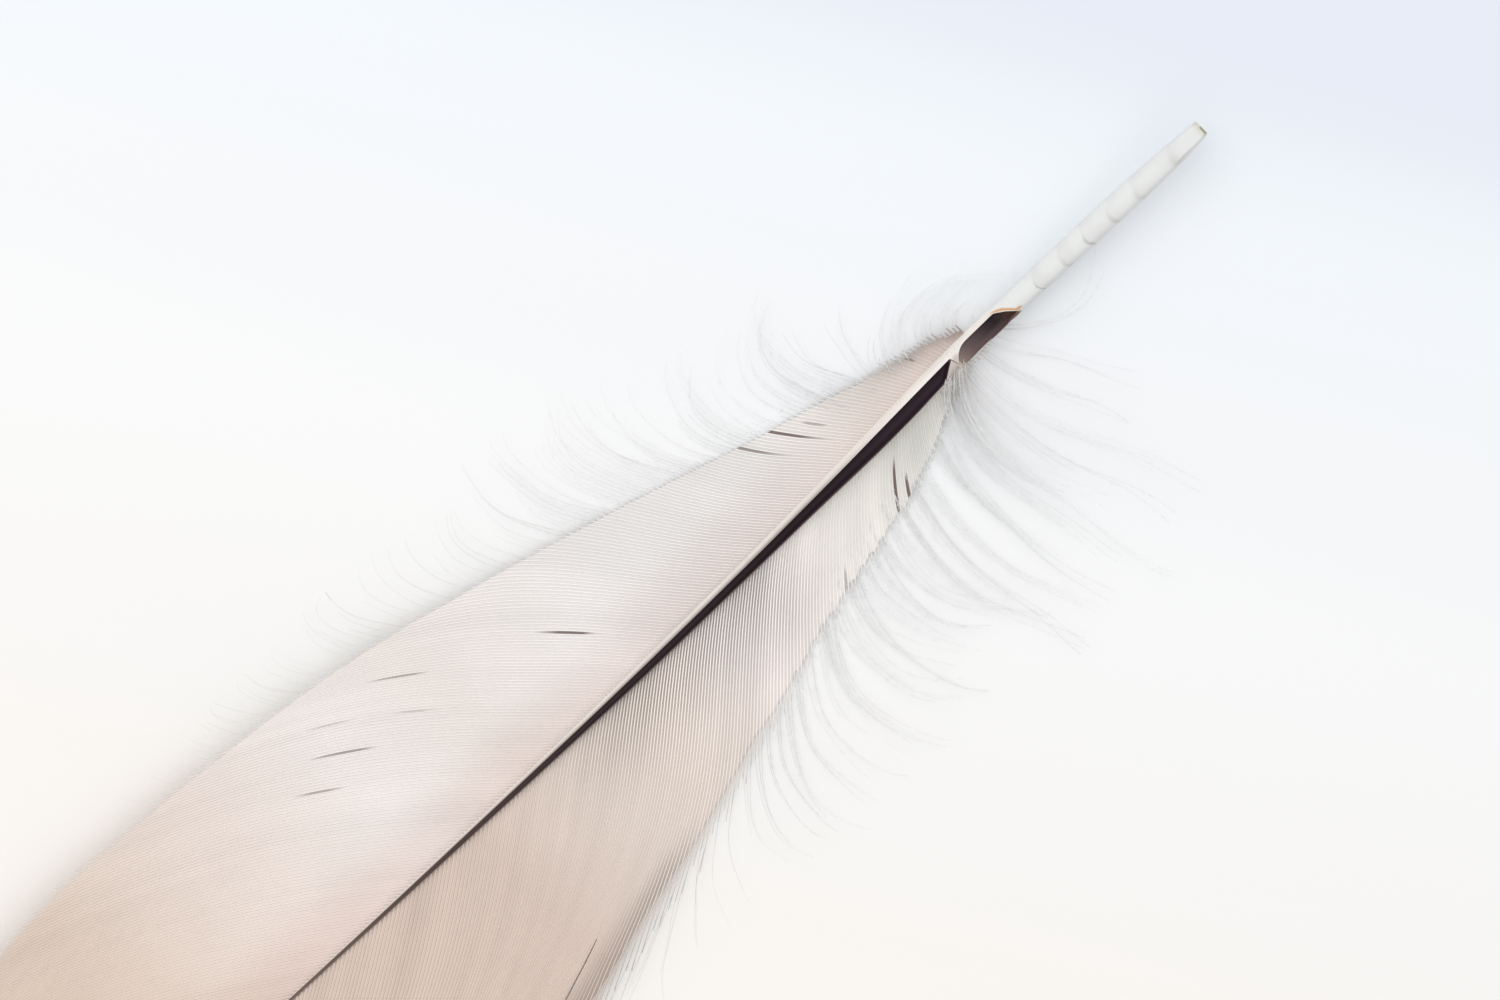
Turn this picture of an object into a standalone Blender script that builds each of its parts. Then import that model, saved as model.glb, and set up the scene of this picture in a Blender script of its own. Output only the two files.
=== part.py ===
import math

import bmesh
import bpy
import numpy as np

# A flight feather lying on its back, with its grooved underside up.
# The shaft runs along +X, from the bare quill's end to the feather's tip.
# Stations are distances along X from the quill's end, in millimetres until a mesh is made.

MM = 0.001

# Shaft
SHAFT_LENGTH = 136.4
QUILL_LENGTH = 21.3             # bare part, up to the pit where the vanes begin
SHAFT_WIDTH = (
    (0, 1.34), (0.8, 1.58), (3, 1.82), (20, 1.92), (30, 1.88), (38, 1.80), (51, 1.48),
    (64, 1.22), (80, 0.82), (96, 0.52), (115, 0.34), (136.4, 0.16),
)
HEIGHT_TO_WIDTH = 0.84
QUILL_TO_RACHIS = (19.0, 27.0)  # stations where the round quill becomes the four-sided rachis
RACHIS_HALF_SECTION = (
    (0.0, 0.0), (0.26, 0.0), (0.43, 0.10), (0.50, 0.30), (0.465, 0.62), (0.42, 0.86),
    (0.36, 0.98), (0.18, 1.0), (0.0, 1.0),
)
SHAFT_STATIONS = 46

# The shaft's run: a slight bow sideways, and both ends lifted off the surface
SIDE_BOW = (
    (0, -0.95), (14, -0.91), (22, -0.82), (30, -0.57), (38, -0.14), (46, 0.13), (55, 0.29),
    (64, 0.36), (78, 0.27), (96, 0.03), (117, -0.50), (138, -1.30),
)
FLAT_RUN = (46.0, 98.0)         # stations between which the back lies flat
QUILL_LIFT = 2.2
TIP_LIFT = 3.0

# Groove along the rachis, and the pit above it
GROOVE_RUN = (27.3, 128.0)
GROOVE_WIDTH = ((27, 0.68), (34, 0.68), (40, 0.63), (128, 0.61))    # of the shaft's width
GROOVE_SHIFT = ((27, -0.36), (28.4, -0.14), (30.4, 0.09), (38, 0.0), (128, 0.0))
GROOVE_DEPTH = 0.50             # of the shaft's height
PIT_RUN = (QUILL_LENGTH - 0.4, QUILL_LENGTH + 6.0)
PIT_SIDE_SHIFT = 0.60
PIT_HALF_WIDTH = 0.56
PIT_DEPTH = 1.0
QUILL_HOLE_RADIUS = 0.30
QUILL_HOLE_DEPTH = 1.2

# Vanes
VANE_START = 23.4
VANE_END = 134.6
FRINGE_END = 71.0               # root station of the last loose lock
LOCK_PITCH = 1.44               # between barb lines that carry a lock
PLAIN_PITCH = 3.2               # between barb lines past them
TIP_PITCH = 1.7                 # between barb lines round the tip
TIP_START = 112.0               # root station where they come closer
BASE_PITCH = 0.85               # between the crowded downy locks at the base
BASE_END = 28.6
ROUNDING_RUN = (106.0, 138.0)   # stations between which the web's edge closes to a round tip
ROUNDING_POWER = 2.3
ACROSS_STEPS = (0.0, 0.16, 0.36, 0.58, 0.80, 1.0)
LOCK_STEPS = 5
VANE_THICKNESS = 0.28
LOCK_TIP_THICKNESS = 0.13
LOCK_TIP_WIDTH = 0.22
ROOT_HEIGHT = 0.25              # of the shaft's height, above its back
DIP_REACH = 3.4                 # from the shaft to where the vane meets the surface
FLAT_REACH = 8.0                # from the shaft to where the vane leaves it again
EDGE_RISE = 1.5
EDGE_REACH = 11.0
LOCK_RISE = 1.6

# Each vane: half width of its web before the tip's rounding, the angle of its barbs to the shaft,
# and its fringe as (root station, angle where the lock ends, lock length, how late it bends)
LEFT_VANE = {
    "side": -1,
    "web": (
        (22, 0.9), (25, 1.4), (27.6, 2.5), (31, 3.5), (35, 4.8), (41.8, 6.7), (47.7, 8.7),
        (58, 12.1), (67, 14.8), (80, 17.9), (92, 19.4), (106, 20.2), (120, 20.0), (138, 18.5),
    ),
    "angle": (
        (23.4, 105), (25, 86), (28, 68), (33, 60), (45, 56), (65, 52), (80, 47), (95, 40),
        (110, 34), (122, 26), (130, 17), (134.6, 7),
    ),
    "fringe": (
        (23.4, 170, 2.0, 0.50), (25.4, 182, 4.0, 0.50), (27.6, 190, 7.2, 0.42), (29.6, 196, 11.8, 0.40),
        (32, 188, 14.2, 0.48), (35, 156, 11.0, 0.85), (40, 134, 10.4, 1.2), (46, 126, 11.2, 1.3),
        (54, 118, 9.6, 1.3), (60, 104, 7.2, 1.3), (66, 84, 4.2, 1.3), (71, 62, 2.4, 1.3),
    ),
}
RIGHT_VANE = {
    "side": 1,
    "web": (
        (22, 0.9), (27, 1.4), (30, 2.8), (34, 4.6), (41.6, 6.8), (47, 7.8), (53, 9.5), (61, 11.2),
        (69, 13.0), (80, 14.7), (92, 16.6), (106, 17.8), (120, 17.6), (138, 16.4),
    ),
    "angle": (
        (23.4, 140), (24.7, 122), (27, 84), (30, 60), (34, 47), (45, 43), (62, 40), (74, 37),
        (90, 34), (110, 30), (122, 23), (130, 15), (134.6, 6),
    ),
    "fringe": (
        (23.8, 196, 12.5, 0.8), (24.7, 130, 16.0, 0.9), (25.6, 102, 23.2, 0.9), (27, 92, 22.6, 0.9),
        (30, 106, 20.5, 1.1), (34, 126, 19.5, 1.3), (40, 136, 19.0, 1.3), (46, 126, 17.0, 1.3),
        (52, 98, 13.5, 1.3), (58, 60, 10.5, 1.3), (64, 36, 7.4, 1.0), (71, 33, 4.4, 1.0),
    ),
}

COLOURS = {
    "quill": (0.78, 0.77, 0.72, 1.0),
    "groove": (0.06, 0.035, 0.04, 1.0),
    "vane": (0.70, 0.64, 0.58, 1.0),
}


def clear_scene():
    for thing in list(bpy.data.objects):
        bpy.data.objects.remove(thing, do_unlink=True)


def curve_through(points):
    """Return a smooth function of the station through (station, value) points."""
    stations, values = np.array(points, dtype=float).T
    slopes = np.gradient(values, stations)

    def value_at(station):
        station = min(max(station, stations[0]), stations[-1])
        i = min(int(np.searchsorted(stations, station, side="right")) - 1, len(stations) - 2)
        step = stations[i + 1] - stations[i]
        u = (station - stations[i]) / step
        start = (1 + 2 * u) * (1 - u) ** 2 * values[i] + u * (1 - u) ** 2 * step * slopes[i]
        end = u * u * (3 - 2 * u) * values[i + 1] - u * u * (1 - u) * step * slopes[i + 1]
        return start + end

    return value_at


def ease(u):
    u = min(max(u, 0.0), 1.0)
    return u * u * (3 - 2 * u)


shaft_width = curve_through(SHAFT_WIDTH)
side_bow = curve_through(SIDE_BOW)
groove_width = curve_through(GROOVE_WIDTH)
groove_shift = curve_through(GROOVE_SHIFT)


def shaft_height(station):
    quill_share = 1 - ease((station - QUILL_TO_RACHIS[0]) / (QUILL_TO_RACHIS[1] - QUILL_TO_RACHIS[0]))
    return shaft_width(station) * (HEIGHT_TO_WIDTH + (1 - HEIGHT_TO_WIDTH) * quill_share)


def lift(station):
    """Height of the shaft's back above the surface."""
    if station < FLAT_RUN[0]:
        return QUILL_LIFT * ((FLAT_RUN[0] - station) / FLAT_RUN[0]) ** 2
    if station > FLAT_RUN[1]:
        return TIP_LIFT * ((station - FLAT_RUN[1]) / (SHAFT_LENGTH - FLAT_RUN[1])) ** 2
    return 0.0


def new_object(name, mesh, colours):
    for colour in colours:
        mesh.materials.append(material(colour))
    thing = bpy.data.objects.new(name, mesh)
    bpy.context.scene.collection.objects.link(thing)
    return thing


def material(name):
    made = bpy.data.materials.get(name)
    if made:
        return made
    made = bpy.data.materials.new(name)
    made.use_nodes = True
    surface = made.node_tree.nodes["Principled BSDF"]
    surface.inputs["Base Color"].default_value = COLOURS[name]
    surface.inputs["Roughness"].default_value = 0.6
    surface.inputs["Metallic"].default_value = 0.0
    return made


def loft(name, rings, colour):
    """Join rings of points (in millimetres) into one closed body with flat ends."""
    shape = bmesh.new()
    loops = [[shape.verts.new([c * MM for c in point]) for point in ring] for ring in rings]
    for one, two in zip(loops, loops[1:]):
        for k in range(len(one)):
            after = (k + 1) % len(one)
            shape.faces.new((one[k], one[after], two[after], two[k]))
    shape.faces.new(loops[0])
    shape.faces.new(loops[-1])
    bmesh.ops.recalc_face_normals(shape, faces=shape.faces)
    mesh = bpy.data.meshes.new(name)
    shape.to_mesh(mesh)
    shape.free()
    mesh.shade_smooth()
    mesh.set_sharp_from_angle(angle=math.radians(40))
    return new_object(name, mesh, [colour])


def shaft_ring(station):
    """The shaft's outline at a station: round on the quill, four-sided on the rachis."""
    width = shaft_width(station)
    height = shaft_height(station)
    squareness = ease((station - QUILL_TO_RACHIS[0]) / (QUILL_TO_RACHIS[1] - QUILL_TO_RACHIS[0]))
    half = []
    for k, (across, up) in enumerate(RACHIS_HALF_SECTION):
        angle = math.pi * (k / (len(RACHIS_HALF_SECTION) - 1) - 0.5)
        round_across = 0.5 * math.cos(angle)
        round_up = 0.5 + 0.5 * math.sin(angle)
        half.append((
            width * (round_across + (across - round_across) * squareness),
            height * (round_up + (up - round_up) * squareness),
        ))
    ring = half + [(-across, up) for across, up in reversed(half[1:-1])]
    return [(station, side_bow(station) + across, lift(station) + up) for across, up in ring]


def make_shaft():
    stations = [0.0, 0.8, 3.0, 8.0, 14.0, 19.0]
    stations += list(np.linspace(20.5, SHAFT_LENGTH, SHAFT_STATIONS - len(stations)))
    stations = sorted(stations + list(FLAT_RUN))
    return loft("feather", [shaft_ring(station) for station in stations], "quill")


def hollow_ring(station, side_shift, half_width, depth):
    """An ellipse centred on the shaft's upper face, which cuts a hollow into it."""
    top = lift(station) + shaft_height(station)
    ring = []
    for k in range(12):
        angle = 2 * math.pi * k / 12
        up = depth * math.sin(angle)
        ring.append((station, side_bow(station) + side_shift + half_width * math.cos(angle), top + up))
    return ring


def make_groove():
    start, end = GROOVE_RUN
    rings = []
    for station in np.linspace(start, end, 40):
        opening = ease((station - start + 0.5) / 2.8)
        closing = ease((end + 1 - station) / 8.0)
        half_width = 0.5 * groove_width(station) * shaft_width(station) * opening
        depth = GROOVE_DEPTH * shaft_height(station) * opening * closing
        rings.append(hollow_ring(station, groove_shift(station), half_width * max(closing, 0.2), max(depth, 0.02)))
    return loft("groove_cutter", rings, "groove")


def make_pit():
    start, end = PIT_RUN
    rings = []
    for u in np.linspace(0.0, 1.0, 10):
        fullness = min(1.0, (u + 0.02) / 0.12) ** 0.5 * min(1.0, (1.03 - u) / 0.22) ** 0.8
        station = start + (end - start) * u
        depth = PIT_DEPTH * (1 - 0.62 * u) * fullness
        rings.append(hollow_ring(station, PIT_SIDE_SHIFT * u ** 2.4, PIT_HALF_WIDTH * fullness, depth))
    return loft("pit_cutter", rings, "groove")


def make_quill_hole():
    """The small hole in the quill's end."""
    middle = lift(0.0) + 0.5 * shaft_height(0.0)
    rings = []
    for station, radius in ((-0.5, QUILL_HOLE_RADIUS), (QUILL_HOLE_DEPTH, 0.6 * QUILL_HOLE_RADIUS)):
        angles = [2 * math.pi * k / 10 for k in range(10)]
        rings.append([
            (station, side_bow(station) + radius * math.cos(a), middle + radius * math.sin(a)) for a in angles
        ])
    return loft("quill_hole_cutter", rings, "groove")


def vane_height(station, reach):
    """Height of a vane's lower face at a distance from the shaft's middle."""
    root = ROOT_HEIGHT * shaft_height(station)
    dip = root * (1 - ease(reach / DIP_REACH))
    rise = EDGE_RISE * (max(reach - FLAT_REACH, 0.0) / EDGE_REACH) ** 2
    return lift(station) + dip + rise


class Vane:
    """One side of the feather: its barb lines across the web, and the loose locks past its edge."""

    step = 0.1

    def __init__(self, shape):
        self.side = shape["side"]
        self.web = curve_through(shape["web"])
        self.angle = curve_through(shape["angle"])
        self.lock_angle, self.lock_length, self.lock_bend = (
            curve_through([(row[0], row[k]) for row in shape["fringe"]]) for k in (1, 2, 3)
        )

    def half_width(self, station):
        start, end = ROUNDING_RUN
        share = min(max((station - start) / (end - start), 0.0), 1.0)
        return self.web(station) * math.sqrt(1 - share ** ROUNDING_POWER)

    def roots(self):
        """Root stations of the barb lines, closest together in the down at the base."""
        roots = [VANE_START]
        stretches = (
            (BASE_END, BASE_PITCH),
            (FRINGE_END, LOCK_PITCH),
            (TIP_START, PLAIN_PITCH),
            (VANE_END, TIP_PITCH),
        )
        for end, pitch in stretches:
            while roots[-1] < end:
                roots.append(min(roots[-1] + pitch, VANE_END))
        return roots

    def barb_line(self, root):
        """Points along a barb from the shaft's middle to the web's edge, as (x, reach)."""
        angle = math.radians(self.angle(root))
        x, reach = root, 0.0
        while reach < self.half_width(x) - 1e-9 and reach < 40:
            x += self.step * math.cos(angle)
            reach += self.step * math.sin(angle)
        start = 0.15 * shaft_width(root)
        points = []
        for u in ACROSS_STEPS:
            away = start + (reach - start) * u
            points.append((root + (x - root) * away / reach, away))
        return points

    def point(self, x, reach, height=None):
        """Place (x, reach) on this side of the shaft, as a lower and an upper point."""
        low = vane_height(x, reach) if height is None else height
        return x, side_bow(x) + self.side * reach, low

    def lock_line(self, root, edge):
        """Points along a loose lock that starts at the web's edge and curls back to the quill."""
        first = self.angle(root)
        last = self.lock_angle(root)
        length = self.lock_length(root)
        bend = self.lock_bend(root)
        x, reach = edge
        base = vane_height(x, reach)
        points = []
        for k in range(1, LOCK_STEPS + 1):
            middle = (k - 0.5) / LOCK_STEPS
            turn = math.radians(first + (last - first) * middle ** bend)
            x += length / LOCK_STEPS * math.cos(turn)
            reach += length / LOCK_STEPS * math.sin(turn)
            u = k / LOCK_STEPS
            points.append((x, reach, turn, base + LOCK_RISE * u ** 1.6, u))
        return points


def make_vane(name, shape):
    vane = Vane(shape)
    flat = bmesh.new()
    thickness = flat.verts.layers.float.new("thickness")

    def corner(point, thick):
        vertex = flat.verts.new([c * MM for c in point])
        vertex[thickness] = thick * MM
        return vertex

    roots = vane.roots()
    lines = [vane.barb_line(root) for root in roots]
    grid = [[corner(vane.point(*point), VANE_THICKNESS) for point in line] for line in lines]
    for one, two in zip(grid, grid[1:]):
        for k in range(len(one) - 1):
            flat.faces.new((one[k], one[k + 1], two[k + 1], two[k]))

    for i, (root, after) in enumerate(zip(roots, roots[1:])):
        if after > FRINGE_END:
            break
        sides = (grid[i][-1], grid[i + 1][-1])
        edge = [(a + b) / 2 for a, b in zip(lines[i][-1], lines[i + 1][-1])]
        width = (sides[0].co - sides[1].co).length / MM
        for x, reach, turn, height, u in vane.lock_line((root + after) / 2, edge):
            half = 0.5 * max(0.86 * width * (1 - u) ** 0.7, LOCK_TIP_WIDTH)
            across = (half * math.sin(turn), -half * math.cos(turn))
            thick = VANE_THICKNESS + (LOCK_TIP_THICKNESS - VANE_THICKNESS) * u
            near = corner(vane.point(x - across[0], reach - across[1], height), thick)
            far = corner(vane.point(x + across[0], reach + across[1], height), thick)
            flat.faces.new((sides[0], near, far, sides[1]))
            sides = (near, far)

    raised = bmesh.ops.extrude_face_region(flat, geom=list(flat.faces), use_keep_orig=True)
    for vertex in raised["geom"]:
        if isinstance(vertex, bmesh.types.BMVert):
            vertex.co.z += vertex[thickness]
    bmesh.ops.recalc_face_normals(flat, faces=flat.faces)
    mesh = bpy.data.meshes.new(name)
    flat.to_mesh(mesh)
    flat.free()
    return new_object(name, mesh, ["vane"])


def join_to(body, tool, operation):
    """Fuse a tool to the body, or cut it out, and keep the tool only as a guide."""
    step = body.modifiers.new(tool.name, "BOOLEAN")
    step.operation = operation
    step.object = tool
    step.solver = "EXACT"
    step.material_mode = "TRANSFER"
    tool.hide_render = True
    tool.display_type = "WIRE"


def centre_on_origin(body, tools):
    """Put the origin under the middle of the feather's box, on the surface that it lies on."""
    bpy.context.view_layer.update()
    evaluated = body.evaluated_get(bpy.context.evaluated_depsgraph_get())
    corners = np.array([vertex.co[:] for vertex in evaluated.data.vertices])
    low = corners.min(axis=0)
    high = corners.max(axis=0)
    shift = (-(low[0] + high[0]) / 2, -(low[1] + high[1]) / 2, -low[2])
    for thing in [body] + tools:
        for vertex in thing.data.vertices:
            vertex.co = [c + s for c, s in zip(vertex.co, shift)]


def main():
    clear_scene()
    feather = make_shaft()
    vanes = [make_vane("left_vane_guide", LEFT_VANE), make_vane("right_vane_guide", RIGHT_VANE)]
    cutters = [make_groove(), make_pit(), make_quill_hole()]
    for vane in vanes:
        join_to(feather, vane, "UNION")
    for cutter in cutters:
        join_to(feather, cutter, "DIFFERENCE")
    centre_on_origin(feather, vanes + cutters)


main()
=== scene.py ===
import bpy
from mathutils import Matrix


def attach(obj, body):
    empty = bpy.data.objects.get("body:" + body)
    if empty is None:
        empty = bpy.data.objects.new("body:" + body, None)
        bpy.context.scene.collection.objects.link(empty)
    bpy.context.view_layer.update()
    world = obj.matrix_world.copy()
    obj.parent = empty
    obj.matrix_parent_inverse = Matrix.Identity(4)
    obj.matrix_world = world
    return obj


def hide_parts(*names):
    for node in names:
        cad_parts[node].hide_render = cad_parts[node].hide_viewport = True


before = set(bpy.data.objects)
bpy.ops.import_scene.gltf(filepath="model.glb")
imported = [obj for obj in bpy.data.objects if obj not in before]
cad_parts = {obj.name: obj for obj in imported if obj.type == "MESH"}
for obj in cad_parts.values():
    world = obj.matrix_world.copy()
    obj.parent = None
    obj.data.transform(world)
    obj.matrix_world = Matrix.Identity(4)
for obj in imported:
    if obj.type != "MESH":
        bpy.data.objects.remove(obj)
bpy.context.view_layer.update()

import math

import bpy
import numpy as np
from mathutils import Matrix, Vector

# A flight feather on a pale table, seen from its grooved underside.
# Stations run along +X from the quill's end; reach is the distance from the shaft's middle.
# Both are in millimetres until a mesh is made.

mm = 0.001
dice = np.random.default_rng(11)

lie = {
    "midStation": 69.04,  # the station over the origin
    "sideShift": -1.661,
    "sideBow": (
        (0, -0.95), (14, -0.91), (22, -0.82), (30, -0.57), (38, -0.14), (46, 0.13), (55, 0.29),
        (64, 0.36), (78, 0.27), (96, 0.03), (117, -0.5), (138, -1.3),
    ),
    "flatFrom": 46,
    "flatTo": 98,
    "quillLift": 2.2,
    "tipLift": 3,
    "shaftEnd": 136.4,
    "featherEnd": 138,
    "noiseEnd": 160,
}


def curveThrough(points):
    # smooth function of the station through (station, value) points
    stations, values = np.array(points, dtype=float).T
    slopes = np.gradient(values, stations)

    def valueAt(station):
        station = np.clip(station, stations[0], stations[-1])
        i = np.clip(np.searchsorted(stations, station, side="right") - 1, 0, len(stations) - 2)
        step = stations[i + 1] - stations[i]
        u = (station - stations[i]) / step
        start = (1 + 2 * u) * (1 - u) ** 2 * values[i] + u * (1 - u) ** 2 * step * slopes[i]
        end = u * u * (3 - 2 * u) * values[i + 1] - u * u * (1 - u) * step * slopes[i + 1]
        return start + end

    return valueAt


def ease(u):
    u = np.clip(u, 0.0, 1.0)
    return u * u * (3 - 2 * u)


def rising(value, start, over):
    # 0 up to start, 1 from start + over on
    return ease((value - start) / over)


def falling(value, end, over):
    # 1 up to end - over, 0 from end on
    return ease((end - value) / over)


def spread(most, count):
    # this many draws between -most and most
    return dice.uniform(-most, most, count)


def softNoise(period):
    # smooth random function of the station, between -1 and 1
    knots = np.arange(0.0, lie["noiseEnd"], period)
    heights = spread(1.0, len(knots))
    return curveThrough(list(zip(knots, heights)))


sideBow = curveThrough(lie["sideBow"])


def backHeight(station):
    # height of the shaft's back above the table
    near = np.clip(lie["flatFrom"] - station, 0, None) / lie["flatFrom"]
    far = np.clip(station - lie["flatTo"], 0, None) / (lie["shaftEnd"] - lie["flatTo"])
    return lie["quillLift"] * near ** 2 + lie["tipLift"] * far ** 2


def onTable(station, across, height):
    # millimetres on the feather to metres on the table
    x = station - lie["midStation"]
    y = across + lie["sideShift"]
    return np.stack(np.broadcast_arrays(x, y, height), axis=-1) * mm


def setMode(mode):
    bpy.ops.object.mode_set(mode=mode)


def deselectAll():
    if bpy.context.object and bpy.context.object.mode != "OBJECT":
        setMode("OBJECT")
    bpy.ops.object.select_all(action="DESELECT")


def pick(thing):
    deselectAll()
    thing.select_set(True)
    bpy.context.view_layer.objects.active = thing


def pickParts(thing, kind, wanted):
    # select the edges or faces of a mesh for which wanted(part) holds
    pick(thing)
    setMode("EDIT")
    bpy.ops.mesh.select_mode(type=kind)
    bpy.ops.mesh.select_all(action="DESELECT")
    setMode("OBJECT")
    parts = thing.data.edges if kind == "EDGE" else thing.data.polygons
    for part in parts:
        part.select = bool(wanted(part))
    setMode("EDIT")


def modelAlongX(name, addShape, **sizes):
    # a shape along X, from 0 to 1
    deselectAll()
    addShape(depth=1.0, location=(0.5, 0, 0), rotation=(0, math.pi / 2, 0), **sizes)
    thing = bpy.context.object
    thing.name = name
    bpy.ops.object.transform_apply(location=True, rotation=True, scale=True)
    return thing


def modelTube(name, sides, rings):
    # closed tube with a radius of one, cut into rings
    tube = modelAlongX(name, bpy.ops.mesh.primitive_cylinder_add, vertices=sides, radius=1.0)
    points = tube.data.vertices

    def runsAlong(edge):
        one, two = (points[v].co for v in edge.vertices)
        return abs(one.x - two.x) > 0.5

    pickParts(tube, "EDGE", runsAlong)
    bpy.ops.mesh.subdivide(number_cuts=rings - 2)
    setMode("OBJECT")
    return tube


def readAll(parts, key, kind=int, size=1):
    values = np.empty(len(parts) * size, dtype=kind)
    parts.foreach_get(key, values)
    return values


def corners(thing):
    return readAll(thing.data.vertices, "co", float, 3).reshape(-1, 3)


def writeAttributes(mesh, values):
    for name, value in values.items():
        layer = mesh.attributes.new(name, "FLOAT", "POINT")
        layer.data.foreach_set("value", np.ascontiguousarray(value, dtype=np.float32).ravel())


def copyAlong(blank, name, paths, wide, tall, values):
    # copies the blank once for each path (in metres) and joins the copies in one mesh
    shape = corners(blank)
    copies, rings = paths.shape[:2]
    ring = np.rint(shape[:, 0] * (rings - 1)).astype(int)
    tangent = np.gradient(paths, axis=1)
    tangent /= np.linalg.norm(tangent, axis=-1, keepdims=True)
    side = np.cross(np.array([0.0, 0.0, 1.0]), tangent)
    side /= np.maximum(np.linalg.norm(side, axis=-1, keepdims=True), 1e-9)
    up = np.cross(tangent, side)
    points = paths[:, ring].copy()
    points += side[:, ring] * (shape[:, 1] * wide[:, ring])[..., None]
    points += up[:, ring] * (shape[:, 2] * tall[:, ring])[..., None]

    loop = readAll(blank.data.loops, "vertex_index")
    start = readAll(blank.data.polygons, "loop_start")
    number = np.arange(copies)[:, None]
    mesh = bpy.data.meshes.new(name)
    mesh.vertices.add(copies * len(shape))
    mesh.vertices.foreach_set("co", points.ravel())
    mesh.loops.add(copies * len(loop))
    mesh.loops.foreach_set("vertex_index", (loop[None, :] + number * len(shape)).ravel())
    mesh.polygons.add(copies * len(start))
    mesh.polygons.foreach_set("loop_start", (start[None, :] + number * len(loop)).ravel())
    mesh.update(calc_edges=True)
    mesh.validate()
    writeAttributes(mesh, {key: value[:, ring] for key, value in values.items()})
    thing = bpy.data.objects.new(name, mesh)
    bpy.context.scene.collection.objects.link(thing)
    pick(thing)
    bpy.ops.object.shade_smooth()
    return thing


def joinPieces(name, things):
    deselectAll()
    for thing in things:
        thing.select_set(True)
    bpy.context.view_layer.objects.active = things[0]
    if len(things) > 1:
        bpy.ops.object.join()
    things[0].name = name
    return things[0]


# small helpers for node trees

def setSocket(tree, socket, value):
    if isinstance(value, bpy.types.NodeSocket):
        tree.links.new(value, socket)
    elif hasattr(value, "__len__") and len(value) == 3 and len(socket.default_value) == 4:
        socket.default_value = (*value, 1.0)
    else:
        socket.default_value = value


def readValue(tree, name):
    reader = tree.nodes.new("ShaderNodeAttribute")
    reader.attribute_name = name
    return reader.outputs["Fac"]


def compute(tree, operation, *values, clamp=False):
    step = tree.nodes.new("ShaderNodeMath")
    step.operation = operation
    step.use_clamp = clamp
    for socket, value in zip(step.inputs, values):
        setSocket(tree, socket, value)
    return step.outputs[0]


def mixColour(tree, factor, first, second, blend="MIX"):
    mix = tree.nodes.new("ShaderNodeMix")
    mix.data_type = "RGBA"
    mix.blend_type = blend
    setSocket(tree, mix.inputs[0], factor)
    setSocket(tree, mix.inputs[6], first)
    setSocket(tree, mix.inputs[7], second)
    return mix.outputs[2]


def times(tree, *values):
    product = values[0]
    for value in values[1:]:
        product = compute(tree, "MULTIPLY", product, value)
    return product


def between(tree, value, low, high):
    # low where the value is 0, high where it is 1
    return compute(tree, "ADD", times(tree, value, high - low), low)


def fadeIn(tree, value, low, high):
    # 0 below low, 1 above high, smooth between
    fade = tree.nodes.new("ShaderNodeMapRange")
    fade.interpolation_type = "SMOOTHSTEP"
    setSocket(tree, fade.inputs["Value"], value)
    fade.inputs["From Min"].default_value = low
    fade.inputs["From Max"].default_value = high
    return fade.outputs["Result"]


def fadeOut(tree, value, low, high):
    return compute(tree, "SUBTRACT", 1.0, fadeIn(tree, value, low, high))


def colourRamp(tree, value, stops, first, last, blending="LINEAR"):
    # the colours of (place, red, green, blue) stops, for a value that goes from 0 at first to 1 at last
    ramp = tree.nodes.new("ShaderNodeValToRGB")
    setSocket(tree, ramp.inputs[0], value)
    ramp.color_ramp.interpolation = blending
    row = ramp.color_ramp.elements
    while len(row) < len(stops):
        row.new(0.5)
    for element, (place, *colour) in zip(row, stops):
        element.position = (place - first) / (last - first)
        element.color = (*colour, 1.0)
    return ramp.outputs["Color"]


def noiseOn(tree, scale, detail=3.0):
    place = tree.nodes.new("ShaderNodeTexCoord")
    noise = tree.nodes.new("ShaderNodeTexNoise")
    noise.inputs["Scale"].default_value = scale
    noise.inputs["Detail"].default_value = detail
    tree.links.new(place.outputs["Object"], noise.inputs["Vector"])
    return noise.outputs["Fac"]


def newMaterial(name, roughness):
    material = bpy.data.materials.new(name)
    material.use_nodes = True
    tree = material.node_tree
    surface = tree.nodes["Principled BSDF"]
    surface.inputs["Roughness"].default_value = roughness
    return material, tree, surface


# the shaft: bare quill, pit, and grooved rachis

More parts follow.
